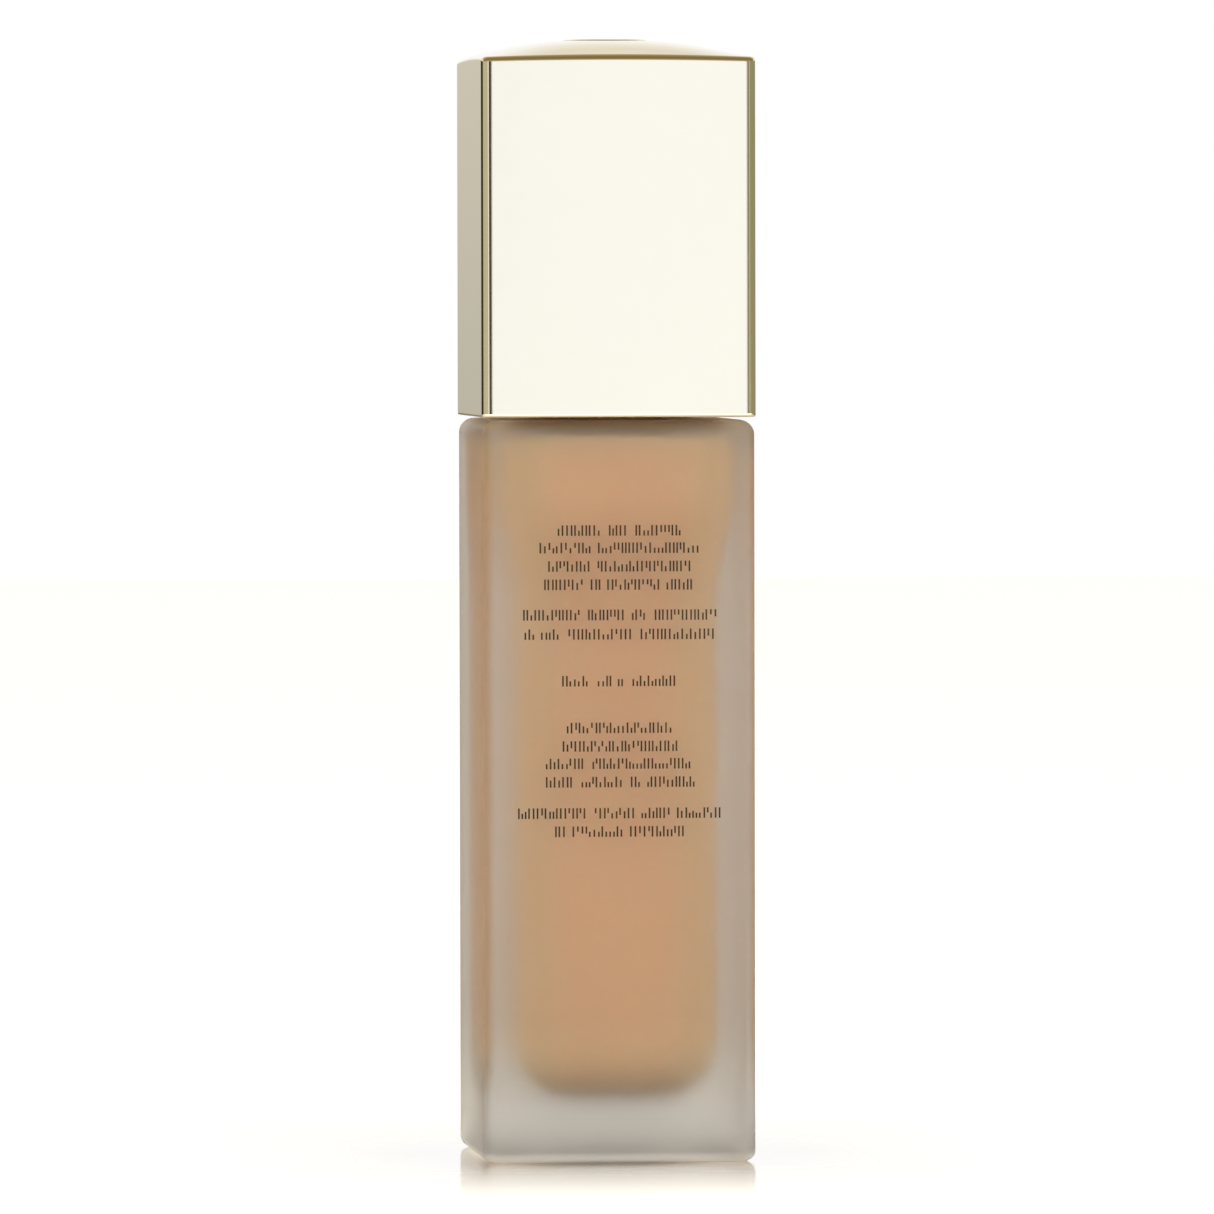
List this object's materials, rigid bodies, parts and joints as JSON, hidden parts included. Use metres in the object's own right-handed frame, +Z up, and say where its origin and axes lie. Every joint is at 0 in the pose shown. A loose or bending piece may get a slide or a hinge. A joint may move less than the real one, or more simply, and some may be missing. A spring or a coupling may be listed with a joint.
{
  "type": "foundation bottle",
  "caption": "Square frosted-glass foundation bottle with a domed pull-off metal cap over a screw-on treatment pump with a sprung actuator and a dip tube.",
  "frame": {"origin": "centre of the square base, on the plane it stands on", "axes": "+Z up through the cap, -Y towards the printed front, +X to the right of someone facing the front"},
  "size_m": [0.03, 0.03, 0.1226],
  "materials": {
    "glass_bottle": "frosted outside, clear inside",
    "foundation_liquid": "opaque cream, satin",
    "base_label": "matt blank film",
    "cap_shell": "polished pale gold plating",
    "cap_liner": "moulded satin plastic",
    "actuator_shell": "satin pale gold",
    "actuator_core": "moulded satin plastic",
    "nozzle_insert": "glossy moulded plastic",
    "collar_sleeve": "satin pale gold",
    "screw_closure": "moulded satin plastic",
    "neck_gasket": "soft matt foam",
    "pump_housing": "milky moulded plastic",
    "stem_retainer": "moulded satin plastic",
    "pump_stem": "smooth moulded plastic",
    "piston_rod": "smooth moulded plastic",
    "piston_seal": "soft satin",
    "return_spring": "bright drawn wire",
    "check_ball": "polished steel ball",
    "dip_tube": "smooth extruded plastic"
  },
  "bodies": {
    "bottle": {"glass_bottle": "glass_bottle", "foundation_liquid": "foundation_liquid", "base_label": "base_label"},
    "cap": {"cap_shell": "cap_shell", "cap_liner": "cap_liner"},
    "pump_body": {"pump_housing": "pump_housing", "stem_retainer": "stem_retainer", "neck_gasket": "neck_gasket", "return_spring": "return_spring", "dip_tube": "dip_tube"},
    "closure": {"screw_closure": "screw_closure", "collar_sleeve": "collar_sleeve"},
    "plunger": {"pump_stem": "pump_stem", "piston_rod": "piston_rod"},
    "piston": {"piston_seal": "piston_seal"},
    "actuator": {"actuator_shell": "actuator_shell", "actuator_core": "actuator_core", "nozzle_insert": "nozzle_insert"},
    "valve_ball": {"check_ball": "check_ball"}
  },
  "joints": [
    {"name": "cap_pull", "type": "slide", "parent": "bottle", "child": "cap", "axis": [0, 0, 1], "range_m": [0, 0.045]},
    {"name": "pump_rise", "type": "slide", "parent": "bottle", "child": "pump_body", "axis": [0, 0, 1], "range_m": [0, 0.00376]},
    {"name": "closure_turn", "type": "hinge", "parent": "pump_body", "child": "closure", "pos_m": [0, 0, 0.0865], "axis": [0, 0, 1], "range_deg": [0, 450]},
    {"name": "pump_press", "type": "slide", "parent": "pump_body", "child": "plunger", "axis": [0, 0, 1], "range_m": [-0.0045, 0], "stiffness_N_per_m": 1000, "springref_m": 0.0003, "deforming": ["return_spring"]},
    {"name": "piston_lag", "type": "slide", "parent": "plunger", "child": "piston", "axis": [0, 0, 1], "range_m": [0, 0.0006]},
    {"name": "actuator_swivel", "type": "hinge", "parent": "plunger", "child": "actuator", "pos_m": [0, 0, 0.104], "axis": [0, 0, 1], "continuous": true},
    {"name": "ball_lift", "type": "slide", "parent": "pump_body", "child": "valve_ball", "axis": [0, 0, 1], "range_m": [0, 0.00055]}
  ],
  "couplings": [
    {"joint": "pump_rise", "follows": "closure_turn", "m_per_rad": 0.00047746}
  ]
}
